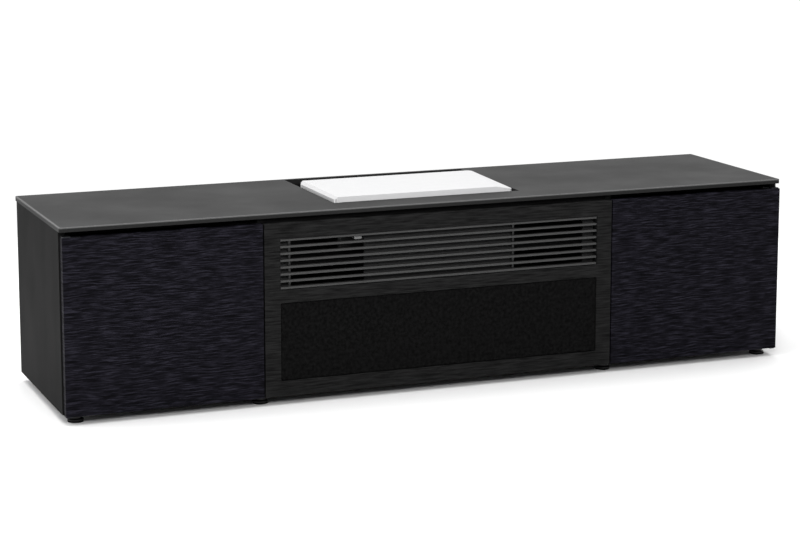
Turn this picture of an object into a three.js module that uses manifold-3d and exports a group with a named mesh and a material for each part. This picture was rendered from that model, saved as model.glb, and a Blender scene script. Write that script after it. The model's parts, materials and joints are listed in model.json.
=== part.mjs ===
// Low media cabinet with two hinged doors, a louvred and fabric-fronted centre section, and a
// short-throw projector that stands on a tray and shows through a cut-out in the top.
// Millimetres. +Z up, +X to the right of someone facing the front, the front faces -Y.
// The origin is on the floor, under the middle of the cabinet.
import * as THREE from "three";
import { mergeVertices } from "three/addons/utils/BufferGeometryUtils.js";
import Module from "manifold-3d";

// Overall
const topWidth = 2210;
const topHeight = 544;
const topThickness = 13;
const topFrontY = -270;
const backY = 280;
const doorFrontY = -280;
const footHeight = 25;

// Carcass
const board = 19;
const gap = 0.3;
const carcassHalfWidth = 1103.5;
const carcassFrontY = -250;
const carcassBackY = 270;
const backThickness = 7.7;
const partitionX = 536;
const shelfBottomZ = 271;
const shelfClearance = 1;
const stretcherDepth = 60;
const sideStretcherFrontY = -205;
const centerStretcherFrontY = -243;

// Doors and the centre frame, which share one front plane
const doorThickness = 24;
const doorOuterX = 1100;
const doorInnerX = 538;
const frontTopZ = 517;
const frameHalfWidth = 534.5;
const frameLipDepth = 7.7;
const frameLipWidth = 15;
const openingHalfWidth = 488;
const louvreZ = [328, 473];
const grilleZ = [69, 291];

// Louvre. The sensor's eye hangs under the top slat.
const slatCount = 8;
const slatPitch = 19.4;
const slatHeight = 6.5;
const slatY = [-277, -263];
const topSlatZ = 468.4;
const ribXs = [-456, 226];
const ribWidth = 6.5;
const backerThickness = 6;
const ventXs = [
  [-456, -230],
  [225, 455],
];
const ventZ = [333, 468];
const sensorX = -256;

// Fabric grille, pulled straight out of the centre frame
const grilleClearance = 1;
const grilleFrontY = -277;
const grilleRail = 32;
const fabricThickness = 1.5;

// Door pivots
const pivotX = 1090;
const pivotY = -268;
const pinRadius = 3;
const hingePlate = 2.5;
const pivotPlateWidth = 14;
const pivotPlateLength = 50;

// Levelling feet
const padRadius = 22.5;
const collarRadius = 17.5;
const stemRadius = 5;
const frontFeet = { y: -230, outerX: 1063, innerX: 535 };
const rearFeet = { y: 235, outerX: 1030, innerX: 535 };

// Openings in the back boards
const portZ = [90, 160];
const portCorner = 20;
const sidePortHalfWidth = 60;
const centerPortHalfWidth = 150;
const backVentZ = [440, 480];
const ventCorner = 12;
const ventHalfWidth = 150;

// Projector and its tray
const cutout = { x: [-290, 286], y: [-170, 266] };
const trayTopZ = 396;
const trayThickness = 18;
const cleatSize = 18;
const projector = { x: [-283, 270], y: [-166, 152], corner: 18 };
const projectorTopZ = 558;
const projectorFrontSlope = { depth: 24, drop: 14 };
const projectorRightSlope = { width: 52, drop: 9 };
const projectorSplitZ = 518;
const projectorWall = 8;
const projectorFootHeight = 8;

// Finishes
const paint = (color, roughness, metalness = 0) =>
  new THREE.MeshStandardMaterial({ color, roughness, metalness });
const finish = {
  top: paint(0x5c5c5d, 0.45),
  carcass: paint(0x373737, 0.6),
  door: paint(0x1b1a1f, 0.5),
  frame: paint(0x242425, 0.55),
  backer: paint(0x1c1c1c, 0.7),
  slat: paint(0x525252, 0.4),
  fabric: paint(0x141414, 0.95),
  steel: paint(0x2b2b2d, 0.35, 0.9),
  plastic: paint(0x111111, 0.5),
  sensor: paint(0x8c8c8c, 0.25),
  shell: paint(0xf7f7f8, 0.35),
};

const wasm = await Module();
wasm.setup();

const cabinet = new THREE.Group();
cabinet.name = "media_cabinet";

function addPart(name, geometry, material) {
  const mesh = new THREE.Mesh(geometry, material);
  mesh.name = name;
  cabinet.add(mesh);
}

// A rectangular block from the spans it fills along each axis.
function block(x, y, z) {
  const geometry = new THREE.BoxGeometry(x[1] - x[0], y[1] - y[0], z[1] - z[0]);
  return geometry.translate((x[0] + x[1]) / 2, (y[0] + y[1]) / 2, (z[0] + z[1]) / 2);
}

// An upright cylinder between two heights.
function post(x, y, z, radius, segments = 16) {
  const geometry = new THREE.CylinderGeometry(radius, radius, z[1] - z[0], segments);
  return geometry.rotateX(Math.PI / 2).translate(x, y, (z[0] + z[1]) / 2);
}

function toSolid(geometry) {
  const bare = geometry.clone();
  bare.deleteAttribute("normal");
  bare.deleteAttribute("uv");
  const merged = mergeVertices(bare, 1e-4);
  return new wasm.Manifold(
    new wasm.Mesh({
      numProp: 3,
      vertProperties: new Float32Array(merged.attributes.position.array),
      triVerts: new Uint32Array(merged.index.array),
    }),
  );
}

function toGeometry(solid) {
  const mesh = solid.getMesh();
  const geometry = new THREE.BufferGeometry();
  geometry.setAttribute("position", new THREE.BufferAttribute(mesh.vertProperties, 3));
  geometry.setIndex(new THREE.BufferAttribute(mesh.triVerts, 1));
  geometry.computeVertexNormals();
  return geometry;
}

function join(...geometries) {
  return toGeometry(geometries.map(toSolid).reduce((a, b) => a.add(b)));
}

function cut(body, ...tools) {
  return toGeometry(tools.map(toSolid).reduce((a, b) => a.subtract(b), toSolid(body)));
}

// The span [near, far] from the middle, on the left (-1) or the right (+1) of the cabinet.
function sideSpan(side, near, far) {
  return side < 0 ? [-far, -near] : [near, far];
}

function rectangle(Outline, u, v) {
  const outline = new Outline();
  outline.moveTo(u[0], v[0]);
  outline.lineTo(u[1], v[0]);
  outline.lineTo(u[1], v[1]);
  outline.lineTo(u[0], v[1]);
  return outline;
}

function roundedRectangle(Outline, u, v, radius) {
  const outline = new Outline();
  outline.moveTo(u[0] + radius, v[0]);
  outline.lineTo(u[1] - radius, v[0]);
  outline.absarc(u[1] - radius, v[0] + radius, radius, -Math.PI / 2, 0);
  outline.lineTo(u[1], v[1] - radius);
  outline.absarc(u[1] - radius, v[1] - radius, radius, 0, Math.PI / 2);
  outline.lineTo(u[0] + radius, v[1]);
  outline.absarc(u[0] + radius, v[1] - radius, radius, Math.PI / 2, Math.PI);
  outline.lineTo(u[0], v[0] + radius);
  outline.absarc(u[0] + radius, v[0] + radius, radius, Math.PI, 1.5 * Math.PI);
  return outline;
}

// An outline drawn in X and Z, with its holes, given a thickness along Y.
function uprightPlate(outline, holes, y) {
  outline.holes.push(...holes);
  const options = { depth: y[1] - y[0], bevelEnabled: false, curveSegments: 6 };
  return new THREE.ExtrudeGeometry(outline, options).rotateX(Math.PI / 2).translate(0, y[1], 0);
}

// An outline drawn in X and Y, given a thickness along Z.
function flatPlate(outline, z) {
  const options = { depth: z[1] - z[0], bevelEnabled: false, curveSegments: 6 };
  return new THREE.ExtrudeGeometry(outline, options).translate(0, 0, z[0]);
}

const topUnderZ = topHeight - topThickness;
const carcassTopZ = topUnderZ - gap;
const sideInnerX = carcassHalfWidth - board;
const partitionInnerX = partitionX - board / 2;
const partitionOuterX = partitionX + board / 2;
const floorTopZ = footHeight + board;
const upperZ = [floorTopZ + gap, carcassTopZ];
const backFrontY = carcassBackY - backThickness;

function makeTop() {
  const sheet = block([-topWidth / 2, topWidth / 2], [topFrontY, backY], [topUnderZ, topHeight]);
  const hole = block(cutout.x, cutout.y, [topUnderZ - 1, topHeight + 1]);
  addPart("top_panel", cut(sheet, hole), finish.top);
}

const feet = [];
for (const [row, place] of [["front", frontFeet], ["rear", rearFeet]]) {
  for (const [side, name] of [[-1, "left"], [1, "right"]]) {
    feet.push({ name: `${row}_${name}_leveler`, x: side * place.outerX, y: place.y });
    feet.push({ name: `${row}_${name}_center_leveler`, x: side * place.innerX, y: place.y });
  }
}

function makeCarcass() {
  const sideY = [carcassFrontY, carcassBackY];
  const innerY = [carcassFrontY, backFrontY - gap];
  for (const [side, name] of [[-1, "left"], [1, "right"]]) {
    const skin = sideSpan(side, sideInnerX, carcassHalfWidth);
    addPart(`${name}_side_panel`, block(skin, sideY, [footHeight, carcassTopZ]), finish.carcass);
    const wall = sideSpan(side, partitionInnerX, partitionOuterX);
    addPart(`${name}_partition`, block(wall, innerY, upperZ), finish.carcass);
  }
  const floorX = [-sideInnerX + gap, sideInnerX - gap];
  const bores = feet.map((foot) =>
    post(foot.x, foot.y, [footHeight - 1, floorTopZ + 1], stemRadius + 0.5),
  );
  const floor = block(floorX, sideY, [footHeight, floorTopZ]);
  addPart("bottom_panel", cut(floor, ...bores), finish.carcass);
}

// Each back board has a cable port low down and an air vent near the top.
function makeBacks() {
  const reach = sideInnerX - gap;
  const bays = [
    ["left_back_panel", [-reach, -partitionX - gap / 2], sidePortHalfWidth],
    ["center_back_panel", [-partitionX + gap / 2, partitionX - gap / 2], centerPortHalfWidth],
    ["right_back_panel", [partitionX + gap / 2, reach], sidePortHalfWidth],
  ];
  for (const [name, x, halfPort] of bays) {
    const middle = (x[0] + x[1]) / 2;
    const port = [middle - halfPort, middle + halfPort];
    const vent = [middle - ventHalfWidth, middle + ventHalfWidth];
    const holes = [
      roundedRectangle(THREE.Path, port, portZ, portCorner),
      roundedRectangle(THREE.Path, vent, backVentZ, ventCorner),
    ];
    const y = [backFrontY, carcassBackY];
    addPart(name, uprightPlate(rectangle(THREE.Shape, x, upperZ), holes, y), finish.backer);
  }
}

function makeInterior() {
  const reach = partitionInnerX - gap;
  const railZ = [carcassTopZ - board, carcassTopZ];
  for (const [side, name] of [[-1, "left"], [1, "right"]]) {
    const bay = sideSpan(side, partitionOuterX + gap, sideInnerX - gap);
    const railY = [sideStretcherFrontY, sideStretcherFrontY + stretcherDepth];
    addPart(`${name}_front_stretcher`, block(bay, railY, railZ), finish.carcass);
    const shelfX = [bay[0] + shelfClearance, bay[1] - shelfClearance];
    const shelfZ = [shelfBottomZ, shelfBottomZ + board];
    addPart(`${name}_shelf`, block(shelfX, [-235, 245], shelfZ), finish.carcass);
    const cleatX = sideSpan(side, reach - cleatSize, reach);
    const cleatTopZ = trayTopZ - trayThickness - gap;
    const cleat = block(cleatX, [-220, 240], [cleatTopZ - cleatSize, cleatTopZ]);
    addPart(`${name}_tray_cleat`, cleat, finish.carcass);
  }
  const railY = [centerStretcherFrontY, centerStretcherFrontY + stretcherDepth];
  addPart("center_front_stretcher", block([-reach, reach], railY, railZ), finish.carcass);
  const trayZ = [trayTopZ - trayThickness, trayTopZ];
  addPart("projector_tray", block([-reach, reach], [-235, 240], trayZ), finish.backer);
}

// The face frame: a full-thickness front layer and a thin rear layer whose lower opening is
// smaller, which leaves a lip that the fabric grille rests against.
function makeCenterFrame() {
  const outlineX = [-frameHalfWidth, frameHalfWidth];
  const outlineZ = [footHeight, frontTopZ];
  const openX = [-openingHalfWidth, openingHalfWidth];
  const frameY = [doorFrontY, carcassFrontY - gap];
  const body = block(outlineX, frameY, outlineZ);
  const louvreHole = block(openX, [frameY[0] - 1, frameY[1] + 1], louvreZ);
  const grilleHole = block(openX, [frameY[0] - 1, frameY[1] - frameLipDepth], grilleZ);
  const lipHole = block(
    [openX[0] + frameLipWidth, openX[1] - frameLipWidth],
    [frameY[0] - 1, frameY[1] + 1],
    [grilleZ[0] + frameLipWidth, grilleZ[1] - frameLipWidth],
  );
  addPart("center_frame", cut(body, louvreHole, grilleHole, lipHole), finish.frame);
}

function makeLouvre() {
  const slatX = [-openingHalfWidth + gap, openingHalfWidth - gap];
  for (let i = 0; i < slatCount; i += 1) {
    const z = topSlatZ - i * slatPitch;
    const slat = block(slatX, slatY, [z - slatHeight / 2, z + slatHeight / 2]);
    addPart(`louvre_slat_${i + 1}`, slat, finish.slat);
  }
  const ribY = [slatY[1] + gap, slatY[1] + gap + ribWidth];
  ribXs.forEach((x, i) => {
    const rib = block([x - ribWidth / 2, x + ribWidth / 2], ribY, [louvreZ[0] + 1, louvreZ[1] - 1]);
    addPart(`louvre_rib_${i + 1}`, rib, finish.slat);
  });
  const backerX = [-partitionInnerX + gap, partitionInnerX - gap];
  const backerY = [carcassFrontY, carcassFrontY + backerThickness];
  const vents = ventXs.map((x) => block(x, [backerY[0] - 1, backerY[1] + 1], ventZ));
  addPart("louvre_backer", cut(block(backerX, backerY, [302, 500]), ...vents), finish.backer);
  const eyeTopZ = topSlatZ - slatHeight / 2 - gap;
  const eye = block([sensorX - 12, sensorX + 12], [-273, -260], [eyeTopZ - 10, eyeTopZ]);
  addPart("infrared_sensor", eye, finish.sensor);
}

function makeGrille() {
  const x = [-openingHalfWidth + grilleClearance, openingHalfWidth - grilleClearance];
  const z = [grilleZ[0] + grilleClearance, grilleZ[1] - grilleClearance];
  const frameY = [grilleFrontY + fabricThickness + gap, carcassFrontY - gap - frameLipDepth - gap];
  const windowX = [x[0] + grilleRail, x[1] - grilleRail];
  const windowZ = [z[0] + grilleRail, z[1] - grilleRail];
  const windows = [rectangle(THREE.Path, windowX, windowZ)];
  addPart("grille_frame", uprightPlate(rectangle(THREE.Shape, x, z), windows, frameY), finish.backer);
  const clothY = [grilleFrontY, grilleFrontY + fabricThickness];
  addPart("grille_fabric", block(x, clothY, z), finish.fabric);
}

// A door swings on two pins near its outer edge. Each pin is part of a bracket on the carcass
// and turns in a plate let into the door's edge.
function makeDoor(side, name) {
  const x = sideSpan(side, doorInnerX, doorOuterX);
  const y = [doorFrontY, doorFrontY + doorThickness];
  const pinX = side * pivotX;
  const plateX = sideSpan(side, pivotX + 8 - pivotPlateLength, pivotX + 8);
  const plateY = [pivotY - pivotPlateWidth / 2, pivotY + pivotPlateWidth / 2];
  const pocketX = [plateX[0] - gap, plateX[1] + gap];
  const pocketY = [plateY[0] - gap, plateY[1] + gap];
  const lowPlateZ = [footHeight, footHeight + hingePlate];
  const highPlateZ = [frontTopZ - hingePlate, frontTopZ];
  const door = cut(
    block(x, y, [footHeight, frontTopZ]),
    block(pocketX, pocketY, [footHeight - 1, lowPlateZ[1] + gap]),
    block(pocketX, pocketY, [highPlateZ[0] - gap, frontTopZ + 1]),
    post(pinX, pivotY, [footHeight - 1, footHeight + 14], pinRadius + 0.4),
    post(pinX, pivotY, [frontTopZ - 14, frontTopZ + 1], pinRadius + 0.4),
  );
  addPart(`${name}_door`, door, finish.door);
  for (const [level, z] of [["lower", lowPlateZ], ["upper", highPlateZ]]) {
    const eye = post(pinX, pivotY, [z[0] - 1, z[1] + 1], pinRadius + 0.3);
    addPart(`${name}_${level}_door_plate`, cut(block(plateX, plateY, z), eye), finish.steel);
  }
}

function makeBrackets(side, name) {
  const pinX = side * pivotX;
  const armY = [pivotY - 8, carcassFrontY - 2];
  const lowZ = [footHeight - gap - hingePlate, footHeight - gap];
  const lowArm = block(sideSpan(side, pivotX - 7.5, pivotX + 8), [armY[0], -205], lowZ);
  const lowPin = post(pinX, pivotY, [lowZ[0] + 1, footHeight + 12], pinRadius);
  addPart(`${name}_lower_hinge_bracket`, join(lowArm, lowPin), finish.steel);

  const highZ = [frontTopZ + gap, frontTopZ + gap + hingePlate];
  const flangeX = sideInnerX - gap;
  const highArm = block(sideSpan(side, pivotX - 15, pivotX + 8), armY, highZ);
  const web = block(sideSpan(side, pivotX - 15, flangeX), [armY[1] - 2, -212], highZ);
  const flangeSpan = sideSpan(side, flangeX - hingePlate, flangeX);
  const flange = block(flangeSpan, [carcassFrontY + gap, -212], [470, highZ[1]]);
  const highPin = post(pinX, pivotY, [frontTopZ - 12, highZ[1] - 1], pinRadius);
  addPart(`${name}_upper_hinge_bracket`, join(highArm, web, flange, highPin), finish.steel);

  const catchX = sideSpan(side, partitionOuterX + gap, partitionOuterX + gap + 14);
  const catchY = [doorFrontY + doorThickness + gap, -200];
  addPart(`${name}_door_catch`, block(catchX, catchY, [440, 480]), finish.plastic);
}

// Pad, neck, collar and threaded stem of one foot, turned in one piece. The stem stands in a
// bore of the bottom panel.
function makeFeet() {
  const profile = [
    [0, 0],
    [padRadius - 2, 0],
    [padRadius, 2],
    [padRadius, 7],
    [padRadius - 2, 9],
    [collarRadius - 3, 9],
    [collarRadius - 3, 11],
    [collarRadius, 12],
    [collarRadius, footHeight - gap],
    [stemRadius, footHeight - gap],
    [stemRadius, floorTopZ - 1],
    [0, floorTopZ - 1],
  ].map(([radius, z]) => new THREE.Vector2(radius, z));
  for (const foot of feet) {
    const turned = new THREE.LatheGeometry(profile, 24).rotateX(Math.PI / 2);
    turned.translate(foot.x, foot.y, 0);
    addPart(foot.name, turned, finish.plastic);
  }
}

// A large block that lies on a sloping plane and removes what is above it.
function wasteAbove(direction, point) {
  const waste = block([-500, 500], [-500, 500], [0, 100]);
  const up = new THREE.Vector3(0, 0, 1);
  waste.applyQuaternion(new THREE.Quaternion().setFromUnitVectors(up, direction));
  return waste.translate(...point);
}

// The cover is its plan with rounded corners, cut by the sloped front edge and by a broad facet on
// the right that runs out to nothing at the rear.
function makeProjector() {
  const { x, y, corner } = projector;
  const seamZ = projectorSplitZ + gap;
  const plan = roundedRectangle(THREE.Shape, x, y, corner);
  const body = flatPlate(plan, [seamZ, projectorTopZ]);
  const front = projectorFrontSlope;
  const right = projectorRightSlope;
  const frontDirection = new THREE.Vector3(0, -front.drop, front.depth).normalize();
  const creaseY = y[0] + front.depth;
  const frontWaste = wasteAbove(frontDirection, [0, creaseY, projectorTopZ]);
  const rearCorner = new THREE.Vector3(x[1], y[1], projectorTopZ);
  const frontCrease = new THREE.Vector3(x[1] - right.width, creaseY, projectorTopZ);
  const frontCorner = new THREE.Vector3(x[1], y[0], projectorTopZ - right.drop);
  const rightDirection = frontCrease
    .sub(rearCorner)
    .cross(frontCorner.sub(rearCorner))
    .normalize();
  const rightWaste = wasteAbove(rightDirection, rearCorner.toArray());
  addPart("projector_cover", cut(body, frontWaste, rightWaste), finish.shell);

  const baseX = [x[0] + 5, x[1] - 5];
  const baseY = [y[0] + 5, y[1] - 5];
  const baseZ = [trayTopZ + projectorFootHeight, projectorSplitZ];
  const insideX = [baseX[0] + projectorWall, baseX[1] - projectorWall];
  const insideY = [baseY[0] + projectorWall, baseY[1] - projectorWall];
  const shell = flatPlate(roundedRectangle(THREE.Shape, baseX, baseY, corner - 5), baseZ);
  const inside = roundedRectangle(THREE.Shape, insideX, insideY, corner - 13);
  const hollow = flatPlate(inside, [baseZ[0] + projectorWall, baseZ[1] + 1]);
  const pegZ = [trayTopZ + gap, baseZ[0] + 2];
  const pegs = [];
  for (const pegX of [baseX[0] + 50, baseX[1] - 50]) {
    for (const pegY of [baseY[0] + 45, baseY[1] - 45]) {
      pegs.push(post(pegX, pegY, pegZ, 15));
    }
  }
  addPart("projector_base", join(cut(shell, hollow), ...pegs), finish.plastic);
}

makeTop();
makeCarcass();
makeBacks();
makeInterior();
makeCenterFrame();
makeLouvre();
makeGrille();
for (const [side, name] of [[-1, "left"], [1, "right"]]) {
  makeDoor(side, name);
  makeBrackets(side, name);
}
makeFeet();
makeProjector();

export default cabinet;
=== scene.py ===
import json
import math

import bmesh
import bpy
from mathutils import Matrix, Vector


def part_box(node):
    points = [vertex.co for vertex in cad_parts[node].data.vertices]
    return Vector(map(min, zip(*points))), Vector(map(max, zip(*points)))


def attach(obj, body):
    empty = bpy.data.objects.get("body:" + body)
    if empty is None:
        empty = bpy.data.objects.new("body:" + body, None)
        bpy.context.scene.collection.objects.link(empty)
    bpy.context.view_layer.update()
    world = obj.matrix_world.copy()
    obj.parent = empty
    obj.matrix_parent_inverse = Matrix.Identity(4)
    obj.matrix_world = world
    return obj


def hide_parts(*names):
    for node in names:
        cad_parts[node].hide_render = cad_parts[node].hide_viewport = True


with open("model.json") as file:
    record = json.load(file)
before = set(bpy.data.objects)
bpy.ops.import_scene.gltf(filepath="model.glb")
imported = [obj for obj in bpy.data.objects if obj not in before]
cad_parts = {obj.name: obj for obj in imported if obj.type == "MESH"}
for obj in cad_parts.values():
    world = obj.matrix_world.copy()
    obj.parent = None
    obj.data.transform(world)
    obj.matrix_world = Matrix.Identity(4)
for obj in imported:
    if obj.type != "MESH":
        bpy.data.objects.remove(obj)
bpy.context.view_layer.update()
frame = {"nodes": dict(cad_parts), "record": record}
bodyOf = {
    node: body
    for body, nodes in frame["record"]["behaviour"]["bodies"].items()
    for node in nodes
}
mm = 0.001
white = (1, 1, 1, 1)


class Value:
    # A socket of numbers. Arithmetic on it adds Math nodes.
    def __init__(self, nodes, socket):
        self.nodes = nodes
        self.socket = socket

    def math(self, operation, first, second=0.0):
        settings = {"operation": operation}
        return self.nodes.node("ShaderNodeMath", settings, {0: first, 1: second})

    def __add__(self, other):
        return self.math("ADD", self, other)

    def __sub__(self, other):
        return self.math("SUBTRACT", self, other)

    def __rsub__(self, other):
        return self.math("SUBTRACT", other, self)

    def __mul__(self, other):
        return self.math("MULTIPLY", self, other)

    def larger(self, other):
        return self.math("MAXIMUM", self, other)

    def absolute(self):
        return self.math("ABSOLUTE", self)

    def sine(self):
        return self.math("SINE", self)

    __radd__ = __add__
    __rmul__ = __mul__


class Nodes:
    # Makes the nodes of one tree and joins them up.
    def __init__(self, tree):
        self.tree = tree

    def feed(self, socket, value):
        if isinstance(value, Value):
            self.tree.links.new(value.socket, socket)
        else:
            socket.default_value = value

    def node(self, kind, settings=None, inputs=None, output=0):
        made = self.tree.nodes.new(kind)
        for key, value in (settings or {}).items():
            setattr(made, key, value)
        for key, value in (inputs or {}).items():
            self.feed(made.inputs[key], value)
        return Value(self, made.outputs[output])

    def noise(self, vector, scale=1.0, detail=3.0, roughness=0.5, distortion=0.0):
        values = {"Vector": vector, "Scale": scale, "Detail": detail}
        values.update({"Roughness": roughness, "Distortion": distortion})
        return self.node("ShaderNodeTexNoise", {}, values)

    def between(self, value, low, high, toLow=0.0, toHigh=1.0):
        values = {0: value, 1: low, 2: high, 3: toLow, 4: toHigh}
        return self.node("ShaderNodeMapRange", {"clamp": True}, values)

    def mixed(self, amount, first, second):
        values = {0: amount, 6: first, 7: second}
        return self.node("ShaderNodeMix", {"data_type": "RGBA"}, values, output=2)

    def moved(self, vector, scale, shift=(0, 0, 0)):
        values = {"Vector": vector, "Scale": scale, "Location": shift}
        return self.node("ShaderNodeMapping", {}, values)

    def shifted(self, vector, offset):
        return self.node("ShaderNodeVectorMath", {"operation": "ADD"}, {0: vector, 1: offset})

    def joined(self, x, y, z):
        return self.node("ShaderNodeCombineXYZ", {}, {0: x, 1: y, 2: z})

    def apart(self, vector, axis):
        return self.node("ShaderNodeSeparateXYZ", {}, {0: vector}, output=axis)


class Shader(Nodes):
    # A principled material that reads the piece's own coordinates.
    def __init__(self, name, **sockets):
        self.material = bpy.data.materials.new(name)
        self.material.use_nodes = True
        super().__init__(self.material.node_tree)
        self.surface = self.tree.nodes["Principled BSDF"]
        self.place = self.node("ShaderNodeTexCoord", output="Object")
        self.wear(**sockets)

    def bump(self, height, distance):
        normal = self.node("ShaderNodeBump", {}, {"Height": height, "Distance": distance})
        self.feed(self.surface.inputs["Normal"], normal)

    def wear(self, **sockets):
        for key, value in sockets.items():
            self.feed(self.surface.inputs[key.replace("_", " ")], value)
        return self.material


def grey(level):
    return (level, level, level, 1.0)


dull = 0.025  # how strongly the dark finishes mirror, far less than the 0.5 of ordinary paint
topLacquer = {
    "dark": grey(0.0140),
    "light": grey(0.0185),
    # The edge tone is a painted highlight on the rounded upper edges of the front and both ends.
    "edge": grey(0.100),
    "speckle": 1400,
    "rough": 0.46,
    "mirror": 0.045,
    "rimWide": (6.0, 2.5),  # millimetres from the side where the painted highlight starts and is full
    "rimDeep": (4.0, 2.0),
}


def makeTopLacquer():
    # Satin lacquer: a fine speckle, broad cloudiness and a little orange peel.
    shader = Shader("topLacquer", Specular_IOR_Level=topLacquer["mirror"])
    speckle = shader.noise(shader.place, topLacquer["speckle"], 2)
    cloud = shader.noise(shader.place, 5, 3)
    colour = shader.mixed(speckle * 0.6 + cloud * 0.4, topLacquer["dark"], topLacquer["light"])
    # A paler band on the rounded upper edge stands in for the highlight that so dull a finish lacks.
    low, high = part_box("top_panel")
    start, full = (part * mm for part in topLacquer["rimWide"])
    ends = shader.apart(shader.place, 0).absolute()
    ends = shader.between(ends, high.x - start, high.x - full)
    front = shader.between(shader.apart(shader.place, 1), low.y + start, low.y + full)
    start, full = (part * mm for part in topLacquer["rimDeep"])
    upper = shader.between(shader.apart(shader.place, 2), high.z - start, high.z - full)
    colour = shader.mixed(front.larger(ends) * upper, colour, topLacquer["edge"])
    peel = shader.noise(shader.place, 260, 2)
    shader.bump(peel * 0.7 + speckle * 0.3, 0.00006)
    low = topLacquer["rough"]
    rough = shader.between(cloud, 0.3, 0.7, low - 0.04, low + 0.05)
    return shader.wear(Base_Color=colour, Roughness=rough)


boardPaint = {"dark": grey(0.0070), "light": grey(0.0102), "speckle": 1100, "rough": 0.6}
# On the projector tray this darker paint is painted shade for the inside seen through the vents.
backPaint = {"dark": grey(0.0058), "light": grey(0.0086)}
louvreBoard = {"dark": grey(0.030), "light": grey(0.038)}


def makeBoardPaint(name, tones):
    # Matte spray paint on board, rolled slightly unevenly.
    shader = Shader(name, Specular_IOR_Level=dull)
    speckle = shader.noise(shader.place, boardPaint["speckle"], 2)
    roll = shader.noise(shader.moved(shader.place, (9, 9, 4)), 1, 4)
    colour = shader.mixed(speckle * 0.5 + roll * 0.5, tones["dark"], tones["light"])
    shader.bump(speckle, 0.00005)
    low = boardPaint["rough"]
    rough = shader.between(roll, 0.3, 0.7, low, low + 0.08)
    return shader.wear(Base_Color=colour, Roughness=rough)


veneer = {
    "valley": (0.0006, 0.0005, 0.0010, 1),
    "middle": (0.0040, 0.0037, 0.0060, 1),
    "crest": (0.0200, 0.0187, 0.0272, 1),
    "along": 18.0,
    "across": 300.0,
    "sway": 0.0055,
    "rough": 0.58,
}


def makeVeneer():
    # Black-stained veneer whose grain runs level, in short waves.
    shader = Shader("doorVeneer", Specular_IOR_Level=0.04)
    bend = shader.noise(shader.moved(shader.place, (7.0, 7.0, 14.0)), 1, 2)
    lean = shader.noise(shader.moved(shader.place, (26.0, 26.0, 60.0), (3, 1, 7)), 1, 2)
    lift = (bend - 0.5) * (veneer["sway"] * 2.2) + (lean - 0.5) * veneer["sway"]
    swayed = shader.shifted(shader.place, shader.joined(0.0, 0.0, lift))
    along, across = veneer["along"], veneer["across"]
    wave = shader.noise(shader.moved(swayed, (along, along, across)), 1, 3, 0.6, 0.3)
    fine = shader.noise(shader.moved(swayed, (60.0, 60.0, 1100.0)), 1, 3, 0.6)
    pores = shader.noise(shader.moved(swayed, (90.0, 90.0, 1500.0), (2, 5, 1)), 1, 2)
    pores = shader.between(pores, 0.6, 0.72)
    body = shader.between(wave, 0.36, 0.66)
    lower = shader.mixed(shader.between(body, 0.0, 0.5), veneer["valley"], veneer["middle"])
    colour = shader.mixed(shader.between(body, 0.45, 1.0), lower, veneer["crest"])
    colour = shader.mixed(fine * 0.25, colour, veneer["middle"])
    colour = shader.mixed(pores * 0.7, colour, veneer["valley"])
    shader.bump(wave * 0.6 + fine * 0.25 - pores * 0.3, 0.0006)
    rough = shader.between(wave, 0.3, 0.7, veneer["rough"] + 0.1, veneer["rough"] - 0.08)
    return shader.wear(Base_Color=colour, Roughness=rough)


framePaint = {
    "dark": grey(0.0042),
    "light": grey(0.0155),
    "along": 14.0,
    "across": 230.0,
    "rough": (0.54, 0.62),
}


def makeFramePaint():
    # Black lacquer thin enough for a trace of the wood under it.
    shader = Shader("framePaint", Specular_IOR_Level=dull)
    scale = (framePaint["along"], framePaint["along"], framePaint["across"])
    trace = shader.noise(shader.moved(shader.place, scale), 1, 4, 0.6, 0.2)
    speckle = shader.noise(shader.place, 900, 2)
    amount = shader.between(trace, 0.36, 0.64)
    colour = shader.mixed(amount, framePaint["dark"], framePaint["light"])
    shader.bump(trace * 0.7 + speckle * 0.3, 0.00016)
    rough = shader.between(trace, 0.3, 0.7, *framePaint["rough"])
    return shader.wear(Base_Color=colour, Roughness=rough)


slatPaint = {"dark": grey(0.028), "light": grey(0.040), "rough": 0.42}


def makeSlatPaint():
    # Satin grey metal, drawn lengthwise.
    shader = Shader("slatPaint", Specular_IOR_Level=0.3)
    drawn = shader.noise(shader.moved(shader.place, (6, 500, 700)), 1, 3)
    speckle = shader.noise(shader.place, 2200, 1)
    colour = shader.mixed(drawn * 0.7 + speckle * 0.3, slatPaint["dark"], slatPaint["light"])
    shader.bump(drawn, 0.00004)
    low = slatPaint["rough"]
    rough = shader.between(drawn, 0.3, 0.7, low - 0.05, low + 0.06)
    return shader.wear(Base_Color=colour, Roughness=rough)


cloth = {
    "thread": 1.15,
    "dark": grey(0.0),
    "light": grey(0.0086),
    "slub": 105.0,
    "rough": (0.86, 0.96),
}


def makeCloth():
    # Plain open weave: threads at right angles, darker in the holes between them.
    shader = Shader("acousticCloth", Specular_IOR_Level=0.03)
    pitch = 2 * math.pi / (cloth["thread"] * mm)
    wobble = shader.noise(shader.place, 140, 2) * 0.9
    warp = (shader.apart(shader.place, 0) * pitch + wobble).sine()
    weft = (shader.apart(shader.place, 2) * pitch + wobble).sine()
    weave = (warp * weft) * 0.5 + 0.5
    slub = shader.noise(shader.place, cloth["slub"], 3, 0.6)
    fuzz = shader.noise(shader.place, 3000, 2)
    amount = weave * 0.3 + shader.between(slub, 0.36, 0.66) * 0.55 + fuzz * 0.15
    colour = shader.mixed(amount, cloth["dark"], cloth["light"])
    shader.bump(weave * 0.8 + fuzz * 0.2, 0.00035)
    rough = shader.between(slub, 0.3, 0.7, *cloth["rough"])
    return shader.wear(Base_Color=colour, Roughness=rough)


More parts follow.
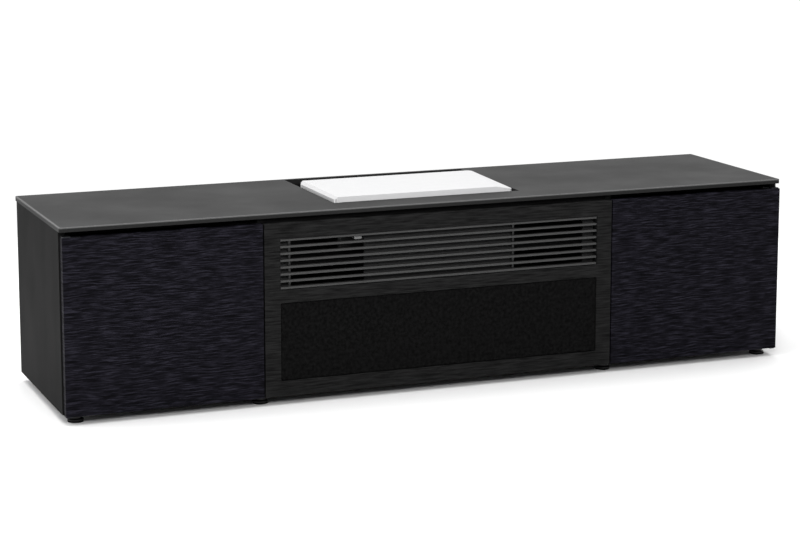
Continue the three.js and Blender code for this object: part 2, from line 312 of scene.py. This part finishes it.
def makeMetal(name, tone, rough):
    # Plated metal, faintly brushed and clouded.
    shader = Shader(name, Metallic=1.0)
    brushed = shader.noise(shader.moved(shader.place, (1, 1, 0.2)), 900, 2)
    blotch = shader.noise(shader.place, 120, 3)
    dark = tuple(0.75 * part for part in tone[:3]) + (1.0,)
    shader.bump(brushed, 0.00003)
    rough = shader.between(blotch, 0.3, 0.7, rough - 0.06, rough + 0.1)
    return shader.wear(Base_Color=shader.mixed(blotch, dark, tone), Roughness=rough)


def makeMoulded(name, tone, rough, grain=1600, depth=0.00005, **sockets):
    # Moulded plastic or rubber with a spark-eroded grain.
    shader = Shader(name, **sockets)
    pebble = shader.noise(shader.place, grain, 2)
    cast = shader.noise(shader.place, 30, 3)
    dark = tuple(0.86 * part for part in tone[:3]) + (1.0,)
    shader.bump(pebble, depth)
    rough = shader.between(cast, 0.3, 0.7, rough - 0.04, rough + 0.05)
    amount = pebble * 0.4 + cast * 0.6
    return shader.wear(Base_Color=shader.mixed(amount, dark, tone), Roughness=rough)


finishes = {
    "top": makeTopLacquer(),
    "carcass": makeBoardPaint("carcassPaint", boardPaint),
    "backer": makeBoardPaint("backerPaint", backPaint),
    "louvreBoard": makeBoardPaint("louvreBoardPaint", louvreBoard),
    "door": makeVeneer(),
    "frame": makeFramePaint(),
    "slat": makeSlatPaint(),
    "fabric": makeCloth(),
    "steel": makeMetal("blackZinc", (0.045, 0.046, 0.050, 1), 0.38),
    "zinc": makeMetal("brightZinc", (0.52, 0.52, 0.50, 1), 0.3),
    "plastic": makeMoulded("blackPlastic", grey(0.0075), 0.42, Specular_IOR_Level=0.35),
    "rubber": makeMoulded("blackRubber", grey(0.006), 0.78, 700, 0.0001, Specular_IOR_Level=dull),
    "sensor": makeMoulded("sensorLens", grey(0.09), 0.18, 500, 0.00001, Coat_Weight=0.6),
    "shell": makeMoulded("whiteShell", (0.49, 0.49, 0.495, 1), 0.34, 1900, 0.00003),
    "port": makeMoulded("portPlastic", grey(0.02), 0.35),
}
print("finishes made")


def camelName(node):
    first, *rest = node.split("_")
    return first + "".join(word.capitalize() for word in rest)


def addPiece(name, shape, body, finish, replaced=()):
    mesh = bpy.data.meshes.new(name)
    shape.to_mesh(mesh)
    shape.free()
    for polygon in mesh.polygons:
        polygon.use_smooth = True
    mesh.set_sharp_from_angle(angle=math.radians(50))
    mesh.materials.append(finishes[finish])
    piece = bpy.data.objects.new(name, mesh)
    bpy.context.scene.collection.objects.link(piece)
    weighted = piece.modifiers.new("evenNormals", "WEIGHTED_NORMAL")
    weighted.keep_sharp = True
    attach(piece, body)
    if replaced:
        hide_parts(*replaced)
    return piece


def bevelEdges(shape, edges, width, segments):
    bmesh.ops.bevel(shape, geom=edges, offset=width, offset_type="OFFSET", affect="EDGES",
                    segments=segments, profile=0.5, clamp_overlap=True, material=-1)


def sharpEdges(shape, chosen=None):
    limit = math.radians(60)
    return [
        edge for edge in shape.edges
        if edge.is_manifold and edge.calc_face_angle(0) > limit and (chosen is None or chosen(edge))
    ]


def nodeShape(node):
    shape = bmesh.new()
    shape.from_mesh(frame["nodes"][node].data)
    bmesh.ops.remove_doubles(shape, verts=shape.verts, dist=0.02 * mm)
    bmesh.ops.dissolve_limit(shape, angle_limit=math.radians(1), verts=shape.verts,
                             edges=shape.edges)
    return shape


def softenNode(node, finish, passes):
    # Rounds a board's edges: each pass is a width in mm, segments and which edges it takes.
    shape = nodeShape(node)
    for width, segments, chosen in passes:
        bevelEdges(shape, sharpEdges(shape, chosen), width * mm, segments)
    return addPiece(camelName(node), shape, bodyOf[node], finish, [node])


def boxShape(low, high):
    shape = bmesh.new()
    middle = (Vector(low) + Vector(high)) / 2
    size = Vector(high) - Vector(low)
    matrix = Matrix.Translation(middle) @ Matrix.Diagonal((*size, 1))
    bmesh.ops.create_cube(shape, size=1, matrix=matrix)
    return shape


def edgesAlong(shape, axis):
    found = []
    for edge in shape.edges:
        run = (edge.verts[1].co - edge.verts[0].co).normalized()
        if abs(run[axis]) > 0.999:
            found.append(edge)
    return found


def stood(shape, place, along):
    # Turns a shape that was made upright at the origin, and moves it into place.
    turn = Vector((0, 0, 1)).rotation_difference(Vector(along)).to_matrix().to_4x4()
    bmesh.ops.transform(shape, matrix=Matrix.Translation(place) @ turn, verts=shape.verts)
    return shape


def turnedShape(profile, place, steps=32, along=(0, 0, 1)):
    # A profile of (radius, height) in mm, turned about an axis through place.
    shape = bmesh.new()
    points = [shape.verts.new((radius * mm, 0, height * mm)) for radius, height in profile]
    outline = [shape.edges.new(pair) for pair in zip(points, points[1:])]
    bmesh.ops.spin(shape, geom=points + outline, cent=(0, 0, 0), axis=(0, 0, 1),
                   angle=2 * math.pi, steps=steps, use_merge=True)
    bmesh.ops.remove_doubles(shape, verts=shape.verts, dist=0.005 * mm)
    bmesh.ops.recalc_face_normals(shape, faces=shape.faces)
    return stood(shape, place, along)


def gathered(shapes):
    whole = bmesh.new()
    for shape in shapes:
        part = bpy.data.meshes.new("part")
        shape.to_mesh(part)
        shape.free()
        whole.from_mesh(part)
        bpy.data.meshes.remove(part)
    return whole


# Each rounding is a width in millimetres and a number of segments.
boardEdges = {
    "board": (0.8, 2),
    "panel": (0.5, 2),
    "front": (1.0, 3),
    "topCorner": (5, 5),
    "topEdge": (4.5, 4),
    "topRest": (1.0, 2),
}
carcassBoards = [
    "left_side_panel", "right_side_panel", "bottom_panel", "left_partition", "right_partition",
    "left_front_stretcher", "right_front_stretcher", "center_front_stretcher", "left_shelf",
    "right_shelf", "left_tray_cleat", "right_tray_cleat",
]
# The tray takes the backer paint, a touch darker than the carcass, so the inside seen through the
# vents reads dark: painted shade.
darkBoards = [
    "left_back_panel", "center_back_panel", "right_back_panel", "grille_frame", "projector_tray",
]


def softenBoards():
    for node in carcassBoards:
        softenNode(node, "carcass", [(*boardEdges["board"], None)])
    for node in darkBoards:
        softenNode(node, "backer", [(*boardEdges["panel"], None)])
    softenNode("louvre_backer", "louvreBoard", [(*boardEdges["panel"], None)])
    softenNode("center_frame", "frame", [(*boardEdges["front"], None)])
    for side in ("left", "right"):
        softenNode(f"{side}_door", "door", [(*boardEdges["front"], None)])


def makeTop():
    low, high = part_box("top_panel")
    near = 0.1 * mm
    rimWide = 6 * mm

    def isCorner(edge):
        upright = abs(edge.verts[0].co.z - edge.verts[1].co.z) > 5 * mm
        return upright and abs(abs(edge.verts[0].co.x) - high.x) < near

    def isUpperRim(edge):
        flat = all(vert.co.z > high.z - near for vert in edge.verts)
        middle = (edge.verts[0].co + edge.verts[1].co) / 2
        atEnd = abs(middle.x) > high.x - rimWide
        return flat and (atEnd or middle.y < low.y + rimWide or middle.y > high.y - rimWide)

    passes = [
        (*boardEdges["topCorner"], isCorner),
        (*boardEdges["topEdge"], isUpperRim),
        (*boardEdges["topRest"], None),
    ]
    softenNode("top_panel", "top", passes)


softenBoards()
makeTop()
print("boards softened")


louvre = {"slats": 8, "ribs": 2, "slatEdge": 1.4, "ribEdge": 1.2, "eyeCorner": 4.8, "eyeEdge": 2.2}


def makeLouvre():
    for number in range(1, louvre["slats"] + 1):
        softenNode(f"louvre_slat_{number}", "slat", [(louvre["slatEdge"], 3, None)])
    for number in range(1, louvre["ribs"] + 1):
        softenNode(f"louvre_rib_{number}", "slat", [(louvre["ribEdge"], 3, None)])
    low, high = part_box("infrared_sensor")
    shape = boxShape(low, high)
    bevelEdges(shape, edgesAlong(shape, 1), louvre["eyeCorner"] * mm, 6)
    bevelEdges(shape, sharpEdges(shape), louvre["eyeEdge"] * mm, 4)
    addPiece("infraredSensor", shape, "cabinet", "sensor", ["infrared_sensor"])


grille = {"clothThickness": 0.6, "wrap": 15.0, "corner": 3.0, "rim": 2.0}


def makeGrilleCloth():
    # One sheet pulled over the frame's front and turned back along its four edges.
    low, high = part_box("grille_fabric")
    back = low.y + grille["wrap"] * mm
    inset = grille["clothThickness"] * mm
    shape = boxShape((low.x + inset, low.y + inset, low.z + inset),
                     (high.x - inset, back, high.z - inset))
    rear = [face for face in shape.faces if face.normal.y > 0.9]
    bmesh.ops.delete(shape, geom=rear, context="FACES_ONLY")
    bevelEdges(shape, edgesAlong(shape, 1), grille["corner"] * mm, 4)
    front = low.y + 2 * inset
    rim = [edge for edge in shape.edges if all(vert.co.y < front for vert in edge.verts)]
    bevelEdges(shape, rim, grille["rim"] * mm, 4)
    piece = addPiece("grilleCloth", shape, "grille_panel", "fabric", ["grille_fabric"])
    skin = piece.modifiers.new("clothThickness", "SOLIDIFY")
    skin.thickness = inset
    skin.offset = 1


makeLouvre()
makeGrilleCloth()
print("louvre and grille made")


screw = {"head": 3.4, "height": 1.1, "recess": 1.5, "depth": 0.9, "lobe": 0.14, "steps": 24}


def screwShape(place, along):
    # A pan head with a six-lobed socket.
    head, height, steps = screw["head"], screw["height"], screw["steps"]
    profile = [(head, 0), (head, height * 0.45), (head * 0.82, height * 0.85), (head * 0.6, height)]
    shape = bmesh.new()
    for radius, level in profile:
        bmesh.ops.create_circle(shape, cap_ends=False, segments=steps, radius=radius * mm,
                                matrix=Matrix.Translation((0, 0, level * mm)))
    for level, closed in ((height, False), (height - screw["depth"], True)):
        made = bmesh.ops.create_circle(shape, cap_ends=closed, segments=steps,
                                       radius=screw["recess"] * mm,
                                       matrix=Matrix.Translation((0, 0, level * mm)))
        for vert in made["verts"]:
            lobe = 1 + screw["lobe"] * math.cos(6 * math.atan2(vert.co.y, vert.co.x))
            vert.co.x *= lobe
            vert.co.y *= lobe
    shape.edges.ensure_lookup_table()
    rings = [shape.edges[start:start + steps] for start in range(0, len(shape.edges), steps)]
    for lower, upper in zip(rings, rings[1:]):
        bmesh.ops.bridge_loops(shape, edges=list(lower) + list(upper))
    base = [edge for edge in shape.edges if edge.is_boundary]
    bmesh.ops.holes_fill(shape, edges=base, sides=steps)
    bmesh.ops.recalc_face_normals(shape, faces=shape.faces)
    return stood(shape, place, along)


def addScrews(name, places, along, body, finish="steel"):
    addPiece(name, gathered([screwShape(place, along) for place in places]), body, finish)


# The screws' places are measured in millimetres from the bracket's own corners.
hinge = {
    "plateEdge": 0.2,
    "bracketEdge": 0.3,
    "under": (10, 26),
    "up": (10, 32),
    "deep": 45,
    "leaf": 2.8,
}


def makeHinges():
    for side, sign in (("left", -1), ("right", 1)):
        for level in ("lower", "upper"):
            plate, bracket = f"{side}_{level}_door_plate", f"{side}_{level}_hinge_bracket"
            softenNode(plate, "steel", [(hinge["plateEdge"], 2, None)])
            softenNode(bracket, "steel", [(hinge["bracketEdge"], 2, None)])
        low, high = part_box(f"{side}_lower_hinge_bracket")
        middle = (low.x + high.x) / 2
        spots = [(middle, high.y - back * mm, low.z) for back in hinge["under"]]
        addScrews(f"{side}LowerBracketScrews", spots, (0, 0, -1), "cabinet")
        low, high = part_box(f"{side}_upper_hinge_bracket")
        sideLow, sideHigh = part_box(f"{side}_side_panel")
        wall = (sideHigh.x if side == "left" else sideLow.x) - sign * hinge["leaf"] * mm
        spots = [(wall, low.y + hinge["deep"] * mm, low.z + up * mm) for up in hinge["up"]]
        addScrews(f"{side}UpperBracketScrews", spots, (-sign, 0, 0), "cabinet")


catch = {"edge": 1.2, "aside": 7, "deep": (15, 42)}
strike = {"let": 0.6, "proud": 0.15, "taller": 4, "corner": 3}
bumper = {"radius": 3.4, "height": 5.4, "inset": 0.4, "aboveBottom": 40, "belowTop": 90}


def makeStrike(side):
    # A strike plate let into the door opposite the catch.
    low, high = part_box(f"{side}_door_catch")
    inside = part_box(f"{side}_door")[1].y
    shape = boxShape((low.x, inside - strike["let"] * mm, low.z - strike["taller"] * mm),
                     (high.x, inside + strike["proud"] * mm, high.z + strike["taller"] * mm))
    bevelEdges(shape, edgesAlong(shape, 1), strike["corner"] * mm, 5)
    addPiece(f"{side}StrikePlate", shape, f"{side}_door_leaf", "zinc")


def makeBumpers(side):
    # Soft stops between the door and the front edge of the partition.
    low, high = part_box(f"{side}_door")
    radius, height = bumper["radius"], bumper["height"]
    profile = [(0, height), (radius * 0.7, height - 0.2), (radius * 0.95, height - 1.2)]
    profile += [(radius, 0), (0, 0)]
    inset = radius * mm + bumper["inset"] * mm
    edge = high.x - inset if side == "left" else low.x + inset
    heights = (low.z + bumper["aboveBottom"] * mm, high.z - bumper["belowTop"] * mm)
    made = [turnedShape(profile, (edge, high.y, z), 24, (0, 1, 0)) for z in heights]
    addPiece(f"{side}DoorBumpers", gathered(made), f"{side}_door_leaf", "rubber")


def makeCatches():
    for side, sign in (("left", -1), ("right", 1)):
        softenNode(f"{side}_door_catch", "plastic", [(catch["edge"], 3, None)])
        low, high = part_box(f"{side}_door_catch")
        x = (low.x + high.x) / 2 + sign * catch["aside"] * mm
        centre = (low.z + high.z) / 2
        spots = [(x, low.y + deep * mm, centre) for deep in catch["deep"]]
        addScrews(f"{side}CatchScrews", spots, (sign, 0, 0), "cabinet")
        makeStrike(side)
        makeBumpers(side)


makeHinges()
makeCatches()
print("hinges and catches made")


sleeveRadius, pinRadius = 3.6, 2.4
shelfFit = {
    "rows": 7,
    "pitch": 32.0,
    "inset": 55.0,
    "sleeve": [
        (1.9, -0.2), (1.9, 0.25), (2.3, 0.45), (sleeveRadius, 0.35), (sleeveRadius + 0.2, 0.02),
    ],
    "pin": [(0, 5.6), (2.0, 5.6), (pinRadius, 5.1), (pinRadius, 0.8), (3.4, 0.5), (3.4, 0)],
}


def makeShelfFittings():
    # Sleeves in both walls of each side bay and four pins under each shelf.
    for side, sign in (("left", -1), ("right", 1)):
        shelfLow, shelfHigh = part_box(f"{side}_shelf")
        partLow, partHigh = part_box(f"{side}_partition")
        sideLow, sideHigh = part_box(f"{side}_side_panel")
        inner = partLow.x if side == "left" else partHigh.x
        outer = sideHigh.x if side == "left" else sideLow.x
        pinZ = shelfLow.z - pinRadius * mm
        sleeves, pins = [], []
        for wall, toward in ((inner, sign), (outer, -sign)):
            for y in (shelfLow.y + shelfFit["inset"] * mm, shelfHigh.y - shelfFit["inset"] * mm):
                pins.append(turnedShape(shelfFit["pin"], (wall, y, pinZ), 18, (toward, 0, 0)))
                for row in range(shelfFit["rows"]):
                    z = pinZ + (row - shelfFit["rows"] // 2) * shelfFit["pitch"] * mm
                    ring = turnedShape(shelfFit["sleeve"], (wall, y, z), 16, (toward, 0, 0))
                    sleeves.append(ring)
        addPiece(f"{side}PinSleeves", gathered(sleeves), "cabinet", "steel")
        addPiece(f"{side}ShelfPins", gathered(pins), "cabinet", "zinc")


def bandShape(low, high, corner, thickness):
    # A rounded rectangular sleeve along Y whose wall grows inwards.
    shape = boxShape(low, high)
    bevelEdges(shape, edgesAlong(shape, 1), corner * mm, 6)
    ends = [face for face in shape.faces if abs(face.normal.y) > 0.9]
    bmesh.ops.delete(shape, geom=ends, context="FACES_ONLY")
    bmesh.ops.solidify(shape, geom=shape.faces[:], thickness=thickness * mm)
    bmesh.ops.recalc_face_normals(shape, faces=shape.faces)
    return shape


backs = {"screwInset": 9.0, "screwPitch": 165.0}
port = {
    "half": {"left": 60, "center": 150, "right": 60},
    "bottom": 90,
    "top": 160,
    "corner": 20,
    "wall": 2.0,
    "lip": 4.5,
    "lipWall": 6.0,
    "proud": 1.6,
}


def makePortTrim(name):
    # A sleeve through the back with a flange round it on the outside.
    low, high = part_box(f"{name}_back_panel")
    middle = (low.x + high.x) / 2
    left, right = middle - port["half"][name] * mm, middle + port["half"][name] * mm
    bottom, top, past = port["bottom"] * mm, port["top"] * mm, 0.5 * mm
    sleeve = bandShape((left, low.y - past, bottom), (right, high.y + past, top),
                       port["corner"], port["wall"])
    lip = port["lip"] * mm
    flange = bandShape((left - lip, high.y + 0.02 * mm, bottom - lip),
                       (right + lip, high.y + port["proud"] * mm, top + lip),
                       port["corner"] + 4, port["lipWall"])
    bevelEdges(flange, sharpEdges(flange), 0.5 * mm, 2)
    addPiece(f"{name}PortTrim", gathered([sleeve, flange]), "cabinet", "port")


def makeBackFittings():
    inset = backs["screwInset"] * mm
    for name in port["half"]:
        low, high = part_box(f"{name}_back_panel")
        wide, tall = high.x - low.x, high.z - low.z
        spots = []
        across = round(wide / (backs["screwPitch"] * mm))
        for step in range(across + 1):
            x = low.x + inset + (wide - 2 * inset) * step / across
            spots += [(x, high.y, low.z + inset), (x, high.y, high.z - inset)]
        for share in (1 / 3, 2 / 3):
            z = low.z + tall * share
            spots += [(low.x + inset, high.y, z), (high.x - inset, high.y, z)]
        addScrews(f"{name}BackScrews", spots, (0, 1, 0), "cabinet")
        makePortTrim(name)


def makeTrayScrews():
    for side, sign in (("left", -1), ("right", 1)):
        low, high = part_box(f"{side}_tray_cleat")
        face = high.x if side == "left" else low.x
        middle = (low.z + high.z) / 2
        spots = [(face, low.y + (high.y - low.y) * share, middle) for share in (0.1, 0.5, 0.9)]
        addScrews(f"{side}CleatScrews", spots, (-sign, 0, 0), "cabinet")


magnet = {"inset": 7, "profile": [(0, 0.22), (4.6, 0.22), (4.9, 0.0), (0, -0.5)]}


def makeGrilleMagnets():
    low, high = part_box("grille_frame")
    inset = magnet["inset"] * mm
    discs = []
    for x in (low.x + inset, high.x - inset):
        for z in (low.z + inset, high.z - inset):
            discs.append(turnedShape(magnet["profile"], (x, high.y, z), 28, (0, 1, 0)))
    addPiece("grilleMagnets", gathered(discs), "grille_panel", "zinc")


makeShelfFittings()
makeBackFittings()
makeTrayScrews()
makeGrilleMagnets()
print("shelf fittings and backs made")


foot = {
    "pad": [(0, 0), (20.5, 0), (22.0, 0.6), (22.5, 2.0), (22.5, 4.2), (21.6, 5.0), (0, 5.0)],
    "collar": [
        (0, 5.0), (21.3, 5.0), (22.2, 5.8), (22.2, 8.0), (21.0, 9.0), (15.4, 9.4), (14.8, 10.2),
        (15.4, 11.2), (16.6, 11.8), (17.4, 12.8), (17.4, 22.6), (16.4, 24.2), (0, 24.2),
    ],
    "threadFrom": 24.3,
    "threadTurns": 11,
    "threadPitch": 1.6,
    "threadRoot": 4.2,
    "threadCrest": 5.0,
    "threadTo": (42.0, 42.6),
}


def stemProfile():
    # A stack of ridges stands for the thread.
    bottom, pitch, root = foot["threadFrom"], foot["threadPitch"], foot["threadRoot"]
    points = [(0, bottom)]
    for turn in range(foot["threadTurns"]):
        height = bottom + turn * pitch
        points += [(root, height), (foot["threadCrest"], height + pitch / 2)]
    shoulder, tip = foot["threadTo"]
    return points + [(root, shoulder), (0, tip)]


def makeFeet():
    for row in ("front", "rear"):
        for side in ("left", "left_center", "right", "right_center"):
            node = f"{row}_{side}_leveler"
            low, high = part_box(node)
            place = ((low.x + high.x) / 2, (low.y + high.y) / 2, 0)
            body, name = bodyOf[node], camelName(node)
            addPiece(name + "Pad", turnedShape(foot["pad"], place, 40), body, "rubber")
            collar = turnedShape(foot["collar"], place, 48)
            addPiece(name, collar, body, "plastic", [node])
            stem = turnedShape(stemProfile(), place, 20)
            addPiece(name + "Stem", stem, body, "zinc")


makeFeet()
print("feet made")


cover = {
    "corner": 18,
    "rightSlope": 52,
    "rightDrop": 9,
    "frontSlope": 7,
    "frontDrop": 14,
    "leftSlope": 9,
    "leftDrop": 8,
    "rim": 1.6,
    "crease": 0.9,
}


def cutAbove(shape, point, direction):
    # Removes what lies beyond a plane and closes the cut with one face.
    everything = shape.verts[:] + shape.edges[:] + shape.faces[:]
    found = bmesh.ops.bisect_plane(shape, geom=everything, plane_co=point,
                                   plane_no=direction.normalized(), clear_outer=True)
    rim = [item for item in found["geom_cut"] if isinstance(item, bmesh.types.BMEdge)]
    bmesh.ops.contextual_create(shape, geom=rim)


def makeProjectorCover():
    low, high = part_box("projector_cover")
    shape = boxShape(low, high)
    bevelEdges(shape, edgesAlong(shape, 2), cover["corner"] * mm, 10)
    creaseY = low.y + cover["frontSlope"] * mm
    frontCrease = Vector((high.x, creaseY, high.z))
    cutAbove(shape, frontCrease, Vector((0, -cover["frontDrop"], cover["frontSlope"])))
    leftCrease = Vector((low.x + cover["leftSlope"] * mm, low.y, high.z))
    cutAbove(shape, leftCrease, Vector((-cover["leftDrop"], 0, cover["leftSlope"])))
    # The right slope runs to nothing at the rear corner.
    rearCorner = Vector(high)
    crease = Vector((high.x - cover["rightSlope"] * mm, creaseY, high.z))
    frontCorner = Vector((high.x, low.y, high.z - cover["rightDrop"] * mm))
    cutAbove(shape, rearCorner, (crease - rearCorner).cross(frontCorner - rearCorner))
    bmesh.ops.recalc_face_normals(shape, faces=shape.faces)

    def isUpper(edge):
        return (edge.verts[0].co.z + edge.verts[1].co.z) / 2 > low.z + 5 * mm

    bevelEdges(shape, sharpEdges(shape, isUpper), cover["rim"] * mm, 3)
    gentle = [edge for edge in shape.edges if edge.is_manifold
              and math.radians(5) < edge.calc_face_angle(0) < math.radians(50)]
    creases = [edge for edge in gentle if edge.calc_length() > 50 * mm
               and min(vert.co.z for vert in edge.verts) > high.z - 20 * mm]
    bevelEdges(shape, creases, cover["crease"] * mm, 2)
    addPiece("projectorCover", shape, "projector_unit", "shell", ["projector_cover"])


base = {
    "edge": 1.2,
    "lift": 6.0,
    "fins": 26,
    "finPitch": 7.0,
    "finHeight": 62.0,
    "finProud": 1.2,
    "finDeep": 0.4,
    "panelWide": 210.0,
    "panelTall": 46.0,
    "panelProud": 1.2,
}
# Sockets on the connector panel: middle, half width, height and corner in millimetres
wideSockets = [
    (-84, 8, 6, 1.5), (-60, 8, 6, 1.5), (-36, 8, 6, 1.5), (-14, 7, 7, 1), (66, 15, 11, 3),
]
jack = {
    "middles": (10, 24),
    "profile": [(2.0, 1.0), (2.0, 2.4), (3.4, 2.4), (3.8, 1.9), (3.8, 1.0)],
}


def makeFins(low, high, middleZ):
    # Cooling fins on both ends.
    fins = []
    start = (low.y + high.y) / 2 - (base["fins"] - 1) * base["finPitch"] * mm / 2
    half = base["finHeight"] * mm / 2
    for number in range(base["fins"]):
        y = start + number * base["finPitch"] * mm
        for face, out in ((low.x, -1), (high.x, 1)):
            near, far = face - out * base["finDeep"] * mm, face + out * base["finProud"] * mm
            fin = boxShape((min(near, far), y - 1 * mm, middleZ - half),
                           (max(near, far), y + 1 * mm, middleZ + half))
            bevelEdges(fin, edgesAlong(fin, 0), 0.9 * mm, 2)
            fins.append(fin)
    addPiece("projectorFins", gathered(fins), "projector_unit", "plastic")


def makeConnectors(rear, middleZ):
    wide, tall = base["panelWide"] * mm / 2, base["panelTall"] * mm / 2
    plate = boxShape((-wide, rear - 0.4 * mm, middleZ - tall),
                     (wide, rear + base["panelProud"] * mm, middleZ + tall))
    bevelEdges(plate, edgesAlong(plate, 1), 5 * mm, 5)
    bevelEdges(plate, sharpEdges(plate), 0.5 * mm, 2)
    addPiece("connectorPlate", plate, "projector_unit", "port")
    sockets = []
    for x, half, height, corner in wideSockets:
        up = height * mm / 1.6
        low = ((x - half) * mm, rear + 0.9 * mm, middleZ - up)
        high = ((x + half) * mm, rear + 2.2 * mm, middleZ + up)
        sockets.append(bandShape(low, high, corner, 1.1))
    for x in jack["middles"]:
        sockets.append(turnedShape(jack["profile"], (x * mm, rear, middleZ), 24, (0, 1, 0)))
    addPiece("connectorSockets", gathered(sockets), "projector_unit", "steel")


def makeProjectorBase():
    softenNode("projector_base", "plastic", [(base["edge"], 3, None)])
    low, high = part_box("projector_base")
    middleZ = (low.z + high.z) / 2 + base["lift"] * mm
    makeFins(low, high, middleZ)
    makeConnectors(high.y, middleZ)


makeProjectorCover()
makeProjectorBase()
print("projector made")


stage = {"floor": 0.86, "reach": 2.5, "skyBehind": 1.04, "skyInFront": 0.28}
# Each lamp's name, place, aim, side in metres and watts
lamps = [
    ("overheadLamp", (0.0, 0.0, 3.4), (0, 0, 0), 6.0, 200),
    ("leftLamp", (-3.4, -0.2, 1.6), (-0.6, 0, 0.2), 2.2, 34),
    ("frontLamp", (-1.2, -3.8, 2.2), (-0.1, 0, 0.1), 0.9, 80),
]
cameraPlace = {
    "spot": (-2.428, -6.060, 1.628),
    "turn": 21.66,
    "tilt": 9.40,
    "lens": 100.96,
    "shift": -0.1,
}


def makeSky():
    # A room that is bright behind the object and below it, and dimmer on the side it faces.
    world = bpy.data.worlds.new("room")
    world.use_nodes = True
    nodes = Nodes(world.node_tree)
    way = nodes.node("ShaderNodeTexCoord", output="Generated")
    bright, dim = stage["skyBehind"], stage["skyInFront"]
    behind = nodes.between(nodes.apart(way, 1), -0.3, 0.15, dim, bright)
    below = nodes.between(nodes.apart(way, 2), -0.02, -0.06, 0.0, bright)
    backdrop = nodes.tree.nodes["Background"]
    nodes.feed(backdrop.inputs["Strength"], behind.larger(below))
    nodes.feed(backdrop.inputs["Color"], white)
    bpy.context.scene.world = world


def makeStage():
    shape = bmesh.new()
    bmesh.ops.create_grid(shape, x_segments=1, y_segments=1, size=stage["reach"])
    mesh = bpy.data.meshes.new("floor")
    shape.to_mesh(mesh)
    shape.free()
    floor = bpy.data.objects.new("floor", mesh)
    bpy.context.scene.collection.objects.link(floor)
    paint = Shader("floorPaint", Base_Color=grey(stage["floor"]), Roughness=0.9)
    mesh.materials.append(paint.material)
    makeSky()
    bpy.context.scene.view_settings.view_transform = "Standard"
    for name, spot, aim, size, watts in lamps:
        light = bpy.data.lights.new(name, "AREA")
        light.shape = "SQUARE"
        light.size = size
        light.energy = watts
        lamp = bpy.data.objects.new(name, light)
        lamp.location = spot
        lamp.rotation_euler = (Vector(aim) - Vector(spot)).to_track_quat("-Z", "Y").to_euler()
        bpy.context.scene.collection.objects.link(lamp)


def makeCamera():
    lens = bpy.data.cameras.new("camera")
    lens.lens = cameraPlace["lens"]
    lens.sensor_width = 36
    lens.shift_y = cameraPlace["shift"]
    camera = bpy.data.objects.new("camera", lens)
    camera.location = cameraPlace["spot"]
    tilt, turn = math.radians(90 - cameraPlace["tilt"]), -math.radians(cameraPlace["turn"])
    camera.rotation_euler = (tilt, 0, turn)
    bpy.context.scene.collection.objects.link(camera)
    bpy.context.scene.camera = camera


makeStage()
makeCamera()
print("stage set")
